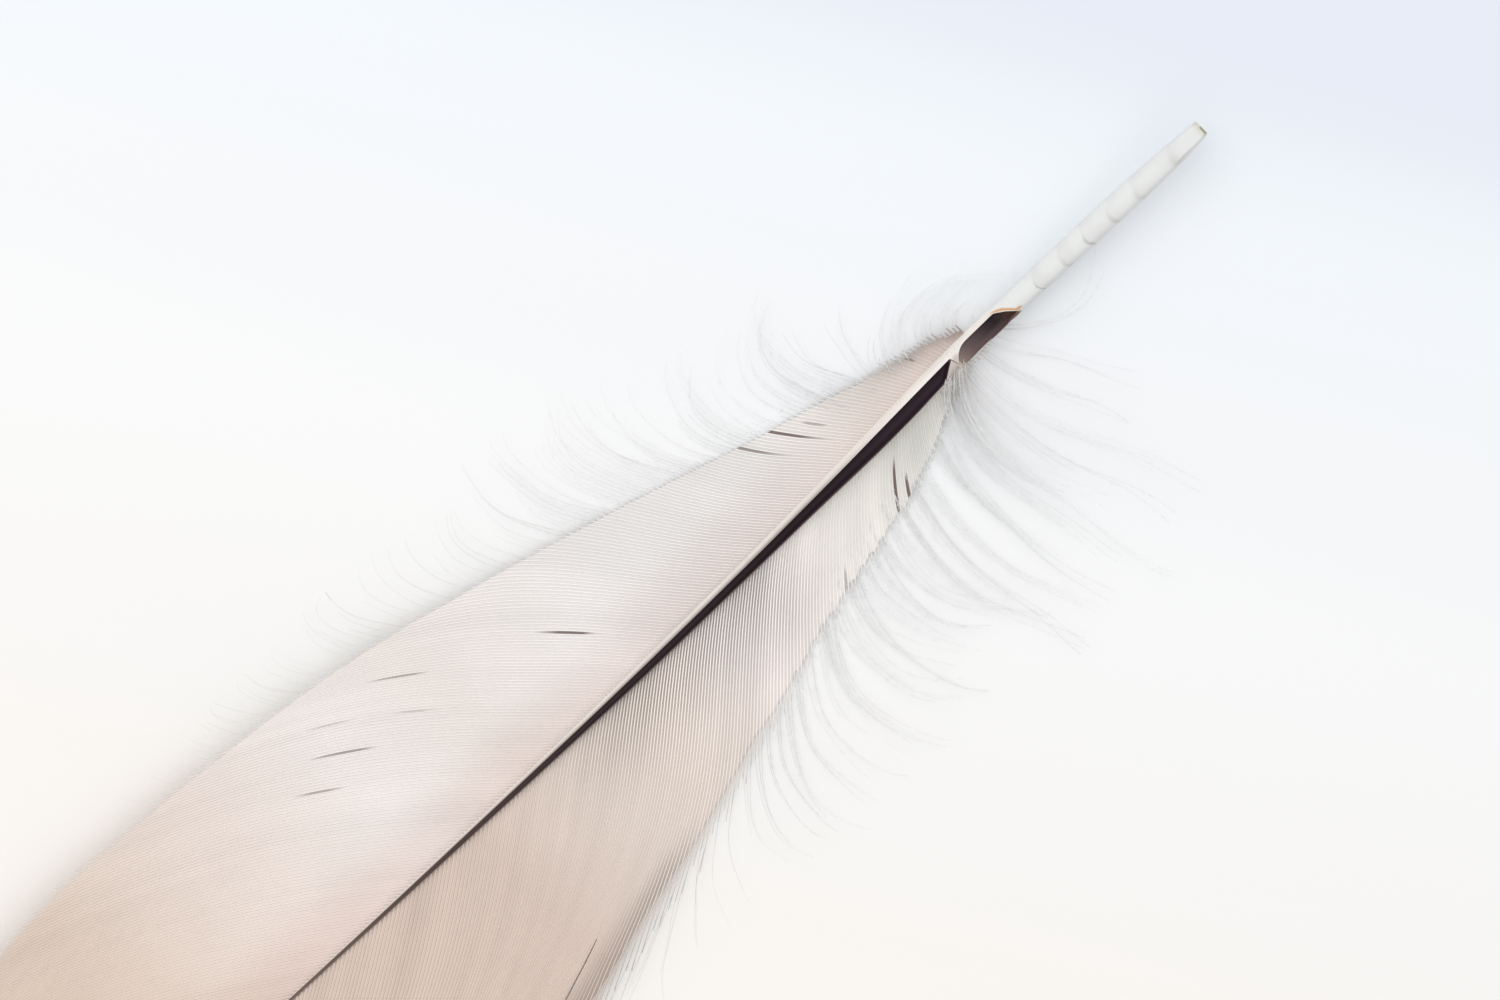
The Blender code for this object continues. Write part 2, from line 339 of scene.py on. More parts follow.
shaft = {
    "width": (
        (0, 1.34), (0.8, 1.58), (3, 1.82), (20, 1.92), (30, 1.88), (38, 1.8), (51, 1.48),
        (64, 1.22), (80, 0.82), (96, 0.52), (115, 0.34), (136.4, 0.16),
    ),
    "heightToWidth": 0.84,
    "stations": ((2.4, 20, 0.6), (20.1, 29.6, 0.1), (29.8, 129, 0.7)),  # from, to, step
    "endStations": (0, 0.1, 0.25, 0.5, 0.8, 1.6),
    "tipStations": (129.6, 8),
    "squares": (19, 8),  # the round quill turns four-sided from here, over this length
    "halfSection": (
        (0, 0), (0.26, 0), (0.43, 0.1), (0.5, 0.3), (0.465, 0.62), (0.42, 0.86),
        (0.36, 0.98), (0.18, 1), (0, 1),
    ),
    "sectionPoints": 49,
    "underColumns": 16,
    "topEdge": (0.45, 0.49),  # where the ring's upper columns end, of the width, and at the pit
    "edgeAtPit": ((20.6, 0.8), (27.4, 1)),
    "rightTrim": (0.3, 34, 12),  # the +Y side gets this much narrower from here, over this length
    "pitLeft": (  # the pit's edges and depth by station
        (20.2, 0.74), (20.45, 0.56), (20.8, 0.46), (21.1, 0.12), (21.4, -0.1), (21.7, -0.52),
        (22, -0.78), (23.3, -0.8), (24.4, -0.8), (25.5, -0.74), (26.2, -0.56), (26.7, -0.15),
        (27.1, 0.4),
    ),
    "pitRight": ((20.2, 0.78), (23.5, 0.76), (25, 0.74), (26.4, 0.74), (27.1, 0.6)),
    "pitDepth": (
        (20.2, 0), (20.5, 0.35), (21.6, 0.95), (22.4, 1), (24, 0.72), (25.4, 0.48), (26.4, 0.26),
        (27.1, 0),
    ),
    "ragged": (0.07, 22.6, 0.6),  # how far the pit's left edge wanders, and until where
    "raggedPeriod": 0.24,
    "rim": (0.035, 0.07, 22.4, 0.9),  # width of a hollow's slope, and how much wider it starts
    "rimsInside": (3, 2, 2.2),  # rims kept free at the left edge and the right one, and past the slope
    "pitOpens": (20.4, 0.25),  # its wall is missing on the +Y side from here
    "pitCloses": (24.2, 0.6),
    "warmRim": ((20.1, 0.3), (21.9, 1.2), (25.5, 1.5)),  # starts, weakens and ends
    "weakRim": 0.75,
    "hollowSpan": (0, 0.02, 0.08, 0.2, 0.36, 0.5, 0.64, 0.8, 0.92, 0.98, 1),
    "hollowPowers": (4, 0.6),
    "shadow": (8, 0.6, 0.12),  # how steeply a hollow gets dark, after how much, and in which depth fully
    "groove": (27.15, 128),
    "grooveFades": (0.7, 8),
    "grooveLeast": 0.2,  # of its width, where it runs out
    "grooveSlant": (0.08, 0.69),  # its width at the start, and how fast it opens from its -Y corner
    "grooveWidth": ((27, 0.68), (34, 0.68), (40, 0.63), (46, 0.62), (128, 0.62)),
    "grooveShift": ((27, 0.06), (30.4, 0.09), (38, 0), (44, -0.02), (50, -0.02), (128, -0.02)),
    "grooveDepth": 0.56,
    "holeSize": 0.5,
    "holeDepth": 1.3,
    "smoothUnder": 50,
}

shaftWidth = curveThrough(shaft["width"])
grooveWidth = curveThrough(shaft["grooveWidth"])
grooveShift = curveThrough(shaft["grooveShift"])
pitLeft = curveThrough(shaft["pitLeft"])
pitRight = curveThrough(shaft["pitRight"])
pitDepth = curveThrough(shaft["pitDepth"])
ragged = softNoise(shaft["raggedPeriod"])


def squareness(station):
    return rising(station, *shaft["squares"])


def shaftHeight(station):
    flatter = shaft["heightToWidth"]
    return shaftWidth(station) * (flatter + (1 - flatter) * (1 - squareness(station)))


def rightSide(station):
    # share of its width that the +Y half keeps
    trim, start, over = shaft["rightTrim"]
    return 1 - trim * rising(station, start, over)


def hollowAt(station):
    # left edge, right edge and depth of the pit or the groove
    grooveFrom, grooveTo = shaft["groove"]
    if station < grooveFrom:
        # the pit, which ends a little before the groove starts
        wander, end, over = shaft["ragged"]
        left = pitLeft(station) + wander * ragged(station) * falling(station, end, over)
        return left, pitRight(station), max(pitDepth(station), 0.0)
    opens, closes = shaft["grooveFades"]
    opening = rising(station, grooveFrom, opens)
    closing = falling(station, grooveTo + 1, closes)
    half = 0.5 * grooveWidth(station) * shaftWidth(station) * max(closing, shaft["grooveLeast"])
    depth = shaft["grooveDepth"] * shaftHeight(station) * opening * closing
    left, right = grooveShift(station) - half, grooveShift(station) + half
    narrowest, slant = shaft["grooveSlant"]
    right = min(right, left + narrowest + slant * (station - grooveFrom))
    return left, right, depth * (station < grooveTo)


def halfOutline(station, width, height):
    # from the middle of the back round the +Y side to the middle of the top
    square = squareness(station)
    count = len(shaft["halfSection"]) - 1
    turn = np.linspace(0, count, shaft["sectionPoints"])
    squareAcross, squareUp = (
        np.clip(curveThrough(list(zip(range(count + 1), row)))(turn), 0, None)
        for row in np.array(shaft["halfSection"]).T
    )
    angle = math.pi * (turn / count - 0.5)
    across = width * (0.5 * np.cos(angle) * (1 - square) + squareAcross * square)
    up = height * ((0.5 + 0.5 * np.sin(angle)) * (1 - square) + squareUp * square)
    return across, up


def shaftRing(station):
    # (across, up, hollow, rim, share) round the shaft: over the top from +Y to -Y, and back under it
    width = shaftWidth(station)
    height = shaftHeight(station)
    lineAcross, lineUp = halfOutline(station, width, height)
    widest = int(np.argmax(lineAcross))
    usual, atPit = shaft["topEdge"]
    comes, goes = shaft["edgeAtPit"]
    edge = (usual + (atPit - usual) * rising(station, *comes) * falling(station, *goes)) * width
    left, right, depth = hollowAt(station)
    slope, wider, end, over = shaft["rim"]
    rim = (slope + wider * falling(station, end, over)) * width
    leftFree, rightFree, pastSlope = shaft["rimsInside"]
    left, right = max(left, -edge + leftFree * rim), min(right, edge - rightFree * rim)
    span = np.array(shaft["hollowSpan"])
    inner = right + (left - right) * span
    columns = np.concatenate(([edge, right + rim], inner, [left - rim, left - pastSlope * rim, -edge]))
    inPower, outPower = shaft["hollowPowers"]
    profile = (1 - np.abs(2 * span - 1) ** inPower) ** outPower
    noneRight, noneLeft = np.zeros(2), np.zeros(3)
    dips = np.concatenate((noneRight, depth * profile, noneLeft))
    flank = rising(station, *shaft["pitOpens"]) * falling(station, *shaft["pitCloses"])
    steep, after, deepEnough = shaft["shadow"]
    shadow = np.clip(steep * profile - after, 0, 1) * min(depth / deepEnough, 1.0)
    # hollow: painted shade in the hollows, strongest in their deepest middle, and over the pit's open +Y
    # flank
    hollow = np.concatenate((noneRight + flank, np.maximum(shadow, flank * (span < 0.3)), noneLeft))
    comes, weakens, goes = shaft["warmRim"]
    warm = rising(station, *comes) * (1 - shaft["weakRim"] * rising(station, *weakens))
    warm = warm * falling(station, *goes)
    tops = np.interp(np.abs(columns), lineAcross[widest:][::-1], lineUp[widest:][::-1]) - dips

    under = np.linspace(0, 1, shaft["underColumns"] + 2)[1:-1]  # from the left edge to the right one
    stop = widest + int(np.argmin(np.abs(lineAcross[widest:] - edge)))
    walk = np.abs(1 - 2 * under) * stop
    underAcross = np.where(under < 0.5, -1.0, 1.0) * np.interp(walk, np.arange(len(lineAcross)), lineAcross)
    underUp = np.interp(walk, np.arange(len(lineUp)), lineUp)
    # painted shade of the open pit on the underside of its +Y flank
    underShade = flank * (underAcross > 0.3 * width) * (underUp > 0.3 * height)
    across = np.concatenate((columns, underAcross))
    return (
        np.where(across > 0, across * rightSide(station), across),
        np.concatenate((tops, underUp)),
        np.concatenate((hollow, underShade)),
        np.concatenate((np.zeros(len(span) + 2), [warm, 0.0, 0.0], 0 * under)),
        across / (0.5 * width),
    )


def makeShaft():
    tipFrom, tipRings = shaft["tipStations"]
    stations = np.concatenate((
        shaft["endStations"], *(np.arange(*row) for row in shaft["stations"]),
        np.linspace(tipFrom, lie["shaftEnd"], tipRings),
    ))
    rings = [shaftRing(station) for station in stations]
    sides = len(rings[0][0])
    tube = modelTube("shaft", sides, len(stations))
    shape = corners(tube)
    ring = np.rint(shape[:, 0] * (len(stations) - 1)).astype(int)
    column = np.rint(np.arctan2(shape[:, 2], shape[:, 1]) / (2 * math.pi / sides)).astype(int) % sides
    across, up, hollow, rim, share = (np.array(values)[ring, column] for values in zip(*rings))
    station = stations[ring]
    placed = onTable(station, sideBow(station) + across, backHeight(station) + up)
    tube.data.vertices.foreach_set("co", placed.ravel())
    writeAttributes(tube.data, {
        "along": station / lie["featherEnd"], "across": share, "hollow": hollow, "rim": rim,
    })

    # the small hole in the quill's end
    quillEnd = -lie["midStation"] * mm
    pickParts(tube, "FACE", lambda face: face.center.x < quillEnd + 1e-6)
    middle = onTable(0.0, sideBow(0.0), backHeight(0.0) + 0.5 * shaftHeight(0.0))
    size = shaft["holeSize"]
    bpy.ops.mesh.extrude_region_move(TRANSFORM_OT_translate={"value": (0, 0, 0)})
    bpy.ops.transform.resize(value=(1, size, size), center_override=tuple(float(v) for v in middle))
    bpy.ops.mesh.extrude_region_move(TRANSFORM_OT_translate={"value": (shaft["holeDepth"] * mm, 0, 0)})
    setMode("OBJECT")
    # painted shade deep inside the quill's end hole
    inHole = np.arange(len(tube.data.vertices)) >= len(shape)
    deep = corners(tube)[:, 0] > quillEnd + 0.5 * shaft["holeDepth"] * mm
    layer = tube.data.attributes["hollow"].data
    written = readAll(layer, "value", np.float32)
    written[inHole & deep] = 1.0
    layer.foreach_set("value", written)
    tube.data.update()
    pick(tube)
    bpy.ops.object.shade_smooth_by_angle(angle=math.radians(shaft["smoothUnder"]))
    return tube


horn = {
    "quill": (0.705, 0.715, 0.705),
    "ridge": (0.8, 0.76, 0.72),
    "ridgeFrom": (20.6, 23.6),
    "quillEnd": (0.6, 0.59, 0.5),
    "cutEnd": (0.1, 0.6),
    "endMark": {  # a spot, fading in and out along the feather and across the shaft
        "colour": (0.2, 0.19, 0.11), "strength": 0.85,
        "along": (None, (0.08, 0.25)), "across": ((-0.55, -0.3), (0.45, 0.7)),
    },
    "rings": (  # station, darkness and thickness of the pith caps inside the quill
        (18.3, 0.7, 0.14), (15.4, 0.32, 0.3), (12.9, 0.62, 0.26), (10.2, 0.36, 0.34),
        (7.5, 0.24, 0.5), (3.6, 0.2, 0.6),
    ),
    "ringColour": (0.4, 0.37, 0.355),
    "ringBulge": 0.5,
    "ringWander": (700, 0.45),  # scale of the noise that bends the rings, and how far
    "ringAcross": (-0.75, 0.35),
    "belowRing": ((-0.2, 0.1), (0.1, 1.7), 0.1),
    "clouds": (520, (0.4, 0.75), 0.1),
    "spots": (
        {  # painted shade along the quill's +Y edge, the side turned from the light
            "colour": (0.38, 0.38, 0.35), "strength": 0.7,
            "along": ((8, 18), (20.6, 23.6)), "across": ((0.78, 0.97), None),
        },
        {  # painted shade on the -Y ridge's slope into the groove, over its grey-brown
            "colour": (0.2, 0.15, 0.13), "strength": 0.85,
            "along": ((30, 46), None), "across": ((-0.97, -0.68), (-0.2, 0.2)),
        },
        {  # the far (+Y) ridge: its red-brown with painted shade, as the side turned from the light
            "colour": (0.08, 0.034, 0.033), "strength": 0.92,
            "along": ((28.6, 32), None), "across": ((0.45, 0.62), None),
        },
        {  # the bridge between the pit and the groove
            "colour": (0.56, 0.48, 0.45), "strength": 0.85,
            "along": ((25, 26.6), (28.4, 29.6)), "across": ((-0.62, -0.25), None),
        },
    ),
    "rim": (0.55, 0.25, 0.06),
    "paleRim": (0.8, 0.62, 0.48),
    "rimPales": (22, 23.2),
    "hollow": (  # colours inside the pit, the groove and the quill's end hole: their own dark brown, laid on with painted shade where they are deepest
        (0, 0.1, 0.09, 0.07), (20.3, 0.26, 0.13, 0.06), (21, 0.13, 0.07, 0.045),
        (21.9, 0.045, 0.024, 0.022), (22.7, 0.017, 0.01, 0.014), (24, 0.06, 0.038, 0.043),
        (25.6, 0.12, 0.082, 0.078), (27.05, 0.27, 0.205, 0.18), (27.25, 0.06, 0.036, 0.042),
        (28.4, 0.026, 0.012, 0.021), (50, 0.03, 0.015, 0.02), (68, 0.05, 0.03, 0.033),
        (84, 0.13, 0.085, 0.075), (100, 0.25, 0.175, 0.14), (138, 0.4, 0.31, 0.25),
    ),
    # painted shade of the open pit, carried over its +Y flank
    "pitFlank": {
        "colour": (0.155, 0.09, 0.09), "strength": 0.8,
        "along": ((20.6, 21.4), (24, 26.5)), "across": ((0.3, 0.9), None),
    },
    "roughness": 0.62,
    "specular": 0.25,
}


def hornMaterial():
    material, tree, surface = newMaterial("horn", horn["roughness"])
    surface.inputs["Specular IOR Level"].default_value = horn["specular"]
    along = readValue(tree, "along")
    across = readValue(tree, "across")
    station = times(tree, along, lie["featherEnd"])

    def addSpot(colour, spot):
        factors = [spot["strength"]]
        for value, (appears, ends) in ((station, spot["along"]), (across, spot["across"])):
            if appears:
                factors.append(fadeIn(tree, value, *appears))
            if ends:
                factors.append(fadeOut(tree, value, *ends))
        return mixColour(tree, times(tree, *factors), colour, spot["colour"])

    rachis = fadeIn(tree, station, *horn["ridgeFrom"])
    colour = mixColour(tree, rachis, horn["quill"], horn["ridge"])
    colour = mixColour(tree, fadeIn(tree, station, *horn["cutEnd"]), horn["quillEnd"], colour)
    colour = addSpot(colour, horn["endMark"])

    # the caps of pith that show through the bare quill
    scale, wander = horn["ringWander"]
    bent = compute(tree, "ADD", station, times(tree, across, across, horn["ringBulge"]))
    bent = compute(tree, "ADD", bent, between(tree, noiseOn(tree, scale, 2.0), -wander, wander))
    rightOnly = fadeIn(tree, across, *horn["ringAcross"])
    starts, ends, weak = horn["belowRing"]
    for middle, darkness, thickness in horn["rings"]:
        before = compute(tree, "SUBTRACT", middle, bent)
        away = compute(tree, "ABSOLUTE", before)
        line = times(tree, fadeOut(tree, away, 0.0, thickness), rightOnly, darkness)
        below = times(tree, fadeOut(tree, before, *ends), fadeIn(tree, before, *starts), weak)
        colour = mixColour(tree, compute(tree, "ADD", line, below), colour, horn["ringColour"])
    scale, limits, weak = horn["clouds"]
    clouds = times(tree, fadeIn(tree, noiseOn(tree, scale), *limits), weak)
    colour = mixColour(tree, clouds, colour, horn["ringColour"])
    for spot in horn["spots"]:
        colour = addSpot(colour, spot)

    # inside the pit and the groove: their dark brown with painted shade, and the pit's ragged rim
    pales = fadeIn(tree, station, *horn["rimPales"])
    rimColour = mixColour(tree, pales, horn["rim"], horn["paleRim"])
    colour = mixColour(tree, readValue(tree, "rim"), colour, rimColour)
    # the hollows' dark brown with painted shade, laid on where the hollow attribute says
    deep = addSpot(colourRamp(tree, along, horn["hollow"], 0, lie["featherEnd"]), horn["pitFlank"])
    colour = mixColour(tree, readValue(tree, "hollow"), colour, deep)
    setSocket(tree, surface.inputs["Base Color"], colour)
    return material


# the vanes: a thin web with a ridge for every barb

vanes = {
    "thickness": 0.28,  # of the solid feather
    "rootHeight": 0.25,  # of the shaft's height
    "dipReach": 3.4,
    "flatReach": 8,
    "edgeRise": 1.5,
    "riseReach": 11,
    "roundFrom": 106,
    "roundPower": 2.3,
    "ends": 135.8,
    "insideShaft": 0.38,  # where the barbs start, of the shaft's width
    "shortest": 0.25,
    "rings": 24,  # along a barb
    "flowReach": (0, 3, 6, 9, 12, 15, 18),
    "flowStep": 0.1,
    "flowEnd": 28,
    "webThickness": 0.05,
    "splitRow": 0.05,  # beside a split's middle
    "splitDepth": 0.05,
    "splitSpread": 1.1,  # how far along the shaft a split pushes the barbs
    "cutGap": 0.2,  # splits wider than this are cut out of the web
    "cutFrom": 0.3,  # of their length
    "sway": 0.05,
    "swayPeriod": 2.3,
    "torn": (0.5, 0.25, 1.4),  # of the ragged edge: by chance, in waves, and their period
    "tornOver": 8,
    "toneWaves": ((0.32, 3.6), (0.2, 1.1)),  # size and period
    "toneChance": 0.1,
    "endChance": (0.55, 1.25),  # of the overhang
    "ridgeLift": 0.03,
    "narrowing": (0.25, 0.65),  # of the ridges along the web, and past its edge
    "spacings": (0.1, 0.6),  # least and most that a ridge's width follows
    "gapFades": (8, 14, 9),  # of the gaps' painted shade: along the vane at both ends, and outwards
    "edgeGapShare": 0.12,
    "brownEdge": (6, 1.2),  # the tint fades over this length, and is full at this share of the reach
    "whiteEdge": (10, 1),
    "whiteGaps": 2.2,  # how much more the white edge shows on the web
    "smoothUnder": 60,
    "roughness": 0.68,
    "warmColour": (0.9, 0.82, 0.8),
    "warmReach": (0.04, 0.24),  # of flowEnd
    "blotches": (160, 0.96, 1.04),
    # painted shadow in the splits, and the brown at the vanes' base
    "darkColour": (0.1, 0.05, 0.035),
}
leftVane = {
    "name": "leftVane",
    "side": -1,
    "starts": 25,
    "web": (
        (22, 0.9), (25, 1.4), (27.6, 2.5), (31, 3.5), (35, 4.8), (41.8, 6.7), (47.7, 8.7),
        (58, 12.1), (67, 14.8), (80, 17.9), (92, 19.4), (106, 20.2), (120, 20), (138, 18.5),
    ),
    "flow": (  # station, and the barbs' angle to the shaft there at each reach of flowReach
        (23.4, 105, 108, 112, 116, 120, 120, 120), (25, 86, 90, 94, 98, 102, 102, 102),
        (28, 66, 70, 74, 80, 84, 84, 84), (32, 56, 60, 66, 70, 74, 74, 74),
        (36, 50, 53, 60, 66, 70, 70, 70), (42, 46, 48, 54, 62, 68, 68, 68),
        (48, 47, 50, 58, 63, 67, 68, 68), (54, 48, 50, 55, 58, 60, 62, 62),
        (60, 48, 50, 51, 52, 52, 52, 52), (66, 47, 47, 46, 45, 43, 38, 38),
        (72, 45, 45, 45, 43, 40, 33, 30), (78, 43, 43, 42, 41, 40, 35, 30),
        (84, 40, 40, 39, 37, 35, 32, 28), (90, 38, 37, 36, 35, 34, 31, 28),
        (96, 36, 35, 34, 32, 30, 28, 26), (106, 32, 32, 31, 29, 27, 25, 24),
        (120, 26, 26, 25, 24, 22, 20, 18), (130, 18, 18, 17, 16, 14, 12, 12), (138, 5, 5, 5, 5, 5, 5, 5),
    ),
    "pitch": (
        (23.4, 0.26), (30, 0.3), (45, 0.31), (54, 0.33), (64, 0.335), (69, 0.36), (80, 0.4),
        (100, 0.45), (134.6, 0.42),
    ),
    "ridgeShare": 0.5,  # of the pitch
    "overhang": (  # past the edge there
        (23.4, 0.6), (34, 0.8), (40, 0.55), (64, 0.6), (80, 1.2), (110, 1.5), (138, 0.8),
    ),
    "splits": (  # station of its middle, reach from, reach to, gap, darkness of its painted shadow, open at the edge
        (29.6, 2, 3.1, 0.05, 0.6, False), (40.9, 2, 8.6, 0.1, 0.85, True),
        (43.9, 3.4, 10, 0.1, 0.65, True), (38.7, 3.6, 5.4, 0.05, 0.4, False),
        (64.3, 4.9, 8.2, 0.12, 0.85, False), (76.4, 12.3, 15.1, 0.07, 0.5, False),
        (84.1, 10.8, 13.6, 0.09, 0.6, False), (87.7, 10.1, 12.4, 0.08, 0.5, False),
        (77.5, 9.5, 11.8, 0.05, 0.2, False), (83.5, 14, 16, 0.05, 0.2, False),
    ),
    "colours": (
        (25, 0.52, 0.45, 0.41), (27, 0.7, 0.64, 0.6), (30, 0.79, 0.74, 0.7), (34.8, 0.84, 0.8, 0.765),
        (38.5, 0.9, 0.865, 0.835), (45, 0.89, 0.86, 0.84), (53, 0.885, 0.855, 0.835), (63, 0.92, 0.88, 0.86),
        (75, 0.87, 0.805, 0.765), (84, 0.89, 0.83, 0.8), (98, 0.835, 0.73, 0.67),
        (112, 0.735, 0.6, 0.505), (138, 0.67, 0.54, 0.44),
    ),
    "barbHeight": ((24, 0.045), (60, 0.04), (80, 0.03), (138, 0.03)),
    "toneSpan": 0.09,
    "endColour": (0.84, 0.81, 0.78),
    "warmth": 0.75,  # how much redder and darker it is beside the shaft
    "paleEnds": ((23.4, 0), (54, 0), (70, 0.7), (138, 0.8)),
    "webShade": ((24, 0.84), (38, 0.76), (60, 0.8), (80, 0.89), (138, 0.93)),  # the web against the ridges: the barbules' duller colour with painted shade between the ridges
    "gaps": (0.06, 38, 66, 0),  # painted shade in the gaps near the shaft: how much, between where, and farther out
    "edgeGapShade": (0, 64, 0.9),  # painted shade in the gaps near the edge: how much, from this station and share of the reach
    "brownEdge": (0.42, 35, 0.45),  # at the base: how much, up to this station, from this share on
    "whiteEdge": (0, 50, 0.8),
    "raggedEdge": (0.26, 36),  # at the base: how much of the reach, up to this station
}
rightVane = {
    "name": "rightVane",
    "side": 1,
    "starts": 23.4,
    "web": (
        (22, 0.9), (27, 1.4), (30, 2.8), (34, 4.6), (41.6, 6.8), (47, 7.8), (53, 9.5), (61, 11.2),
        (66, 12.5), (69, 13.4), (76, 15), (83, 16.9), (92, 17.5), (106, 18), (120, 17.6), (138, 16.4),
    ),
    "flow": (
        (23.4, 140, 140, 140, 140, 140, 140, 140), (24.7, 122, 122, 122, 122, 122, 122, 122),
        (27, 84, 90, 96, 100, 100, 100, 100), (30, 62, 70, 80, 88, 90, 90, 90),
        (33, 51, 58, 72, 80, 84, 84, 84), (36, 46, 50, 64, 76, 80, 80, 80),
        (42, 43, 46, 53, 64, 70, 74, 74), (48, 42, 43, 47, 55, 60, 66, 66),
        (54, 41.5, 42.5, 45, 48, 52, 56, 60), (60, 41, 42, 44, 44, 43, 46, 54),
        (66, 40, 41, 41, 38, 34, 38, 48), (72, 40, 40, 38, 33, 26, 30, 42),
        (78, 39.5, 39, 36, 31, 23, 22, 36), (84, 39, 38, 35, 30, 24, 18, 26),
        (90, 36, 36, 33, 28, 24, 19, 20), (100, 33, 33, 31, 28, 24, 20, 18),
        (120, 24, 24, 23, 22, 20, 17, 15), (130, 15, 15, 14, 13, 12, 11, 11), (138, 5, 5, 5, 5, 5, 5, 5),
    ),
    "pitch": (
        (23.4, 0.22), (30, 0.3), (45, 0.34), (54, 0.36), (59, 0.37), (64, 0.39), (69, 0.42),
        (74, 0.456), (80, 0.49), (100, 0.5), (134.6, 0.44),
    ),
    "ridgeShare": 0.52,
    "overhang": (
        (23.4, 0.6), (44, 0.8), (54, 1.2), (60, 2.4), (66, 4.8), (74, 6.4), (86, 6), (98, 3), (138, 0.8),
    ),
    "splits": (
        (37.7, 2.2, 6.3, 0.12, 0.9, False), (36.8, 3.9, 6, 0.1, 0.9, False),
        (45.5, 5.4, 7.7, 0.08, 0.45, True), (30.4, 3.6, 4.8, 0.08, 0.6, True),
        (34, 5.2, 6.6, 0.08, 0.5, True), (82.3, 12.8, 16.6, 0.6, 0, True),
    ),
    "colours": (
        (24, 0.74, 0.7, 0.67), (34, 0.745, 0.73, 0.69), (40, 0.85, 0.82, 0.775), (48, 0.915, 0.865, 0.83),
        (55, 0.95, 0.87, 0.84), (63, 0.91, 0.81, 0.745), (72, 0.765, 0.665, 0.6),
        (81, 0.67, 0.545, 0.475), (90, 0.665, 0.535, 0.46), (138, 0.65, 0.53, 0.45),
    ),
    "barbHeight": ((24, 0.05), (44, 0.07), (64, 0.06), (80, 0.025), (138, 0.025)),
    "toneSpan": 0.18,
    "endColour": (0.6, 0.545, 0.5),
    "warmth": 0,
    "paleEnds": ((23.4, 0.3), (50, 0.1), (60, 0.8), (138, 0.9)),
    "webShade": ((24, 0.86), (46, 0.82), (62, 0.82), (78, 0.93), (138, 0.95)),
    # painted shade in the gaps, near the shaft and near the edge
    "gaps": (0.54, 44, 77, 0.3),
    "edgeGapShade": (0.4, 66, 0.86),
    "brownEdge": (0.12, 32, 0.7),
    "whiteEdge": (0.04, 62, 0.62),
    "raggedEdge": (0.12, 52),
}


def edgeReach(vane, station):
    start, end = vanes["roundFrom"], lie["featherEnd"]
    share = np.clip((station - start) / (end - start), 0.0, 1.0)
    return curveThrough(vane["web"])(station) * np.sqrt(1 - share ** vanes["roundPower"])


def webHeight(station, reach):
    # middle of the web above the table
    root = vanes["rootHeight"] * shaftHeight(station) * (1 - ease(reach / vanes["dipReach"]))
    beyond = np.clip(reach - vanes["flatReach"], 0, None) / vanes["riseReach"]
    return backHeight(station) + root + vanes["edgeRise"] * beyond ** 2 + 0.5 * vanes["thickness"]


def barbRoots(vane):
    pitch = curveThrough(vane["pitch"])
    roots = [vane["starts"]]
    while roots[-1] < vanes["ends"]:
        roots.append(roots[-1] + float(pitch(roots[-1])))
    return np.array(roots[:-1])


def startReach(vane, roots):
    inside = vanes["insideShaft"] * shaftWidth(roots)
    return inside * rightSide(roots) if vane["side"] > 0 else inside


def flowLines(vane, roots):
    # the station of the barbs from these roots at each step of reach
    table = np.array(vane["flow"], dtype=float)
    step = vanes["flowStep"]
    lines = [np.array(roots, dtype=float)]
    for reach in np.arange(0.0, vanes["flowEnd"], step):
        angles = [np.interp(reach, vanes["flowReach"], row[1:]) for row in table]
        angle = np.interp(lines[-1], table[:, 0], angles)
        lines.append(lines[-1] + step / np.tan(np.radians(angle)))
    return np.stack(lines, axis=1)


def readLines(lines, reach):
    # values of each line at its row of reaches
    place = np.clip(reach / vanes["flowStep"], 0, lines.shape[1] - 1.01)
    low = place.astype(int)
    row = np.arange(len(lines))[:, None]
    return lines[row, low] + (place - low) * (lines[row, low + 1] - lines[row, low])


def barbLengths(vane, lines):
    # reach at which each barb meets the web's edge
    reach = np.arange(lines.shape[1]) * vanes["flowStep"]
    first = np.argmax(reach >= edgeReach(vane, lines), axis=1)
    return np.maximum(reach[first], vanes["shortest"])


def settleSplits(vane, roots, lines):
    # the gap between two barbs that each split lies in
    settled = []
    for station, *rest in vane["splits"]:
        places = readLines(lines, np.full((len(roots), 1), (rest[0] + rest[1]) / 2))[:, 0]
        gaps = (places[1:] + places[:-1]) / 2
        near = int(np.argmin(np.abs(gaps - station)))
        settled.append(((roots[near] + roots[near + 1]) / 2, *rest))
    return settled


def splitAt(splits, roots, reach):
    # push along the shaft, painted shadow and depth that the splits give the web and the barbs
    push = np.zeros(np.broadcast(roots, reach).shape)
    dark = np.zeros_like(push)
    depth = np.zeros_like(push)
    for middle, start, end, gap, darkness, isOpen in splits:
        u = np.clip((reach - start) / (end - start), 0, 1)
        lens = ease(u * 1.6) if isOpen else np.sin(math.pi * u) ** 0.8
        away = roots - middle
        push += np.sign(away) * 0.5 * gap * lens * np.exp(-np.abs(away) / vanes["splitSpread"])
        inside = np.abs(away) < 1.2 * vanes["splitRow"]
        fade = ease((1.15 - u) * 2.5) if isOpen else 1.0
        dark = np.maximum(dark, darkness * inside * np.clip(lens * 1.5, 0, 1) * fade)
        depth = np.maximum(depth, vanes["splitDepth"] * inside * lens)
    return push, dark, depth


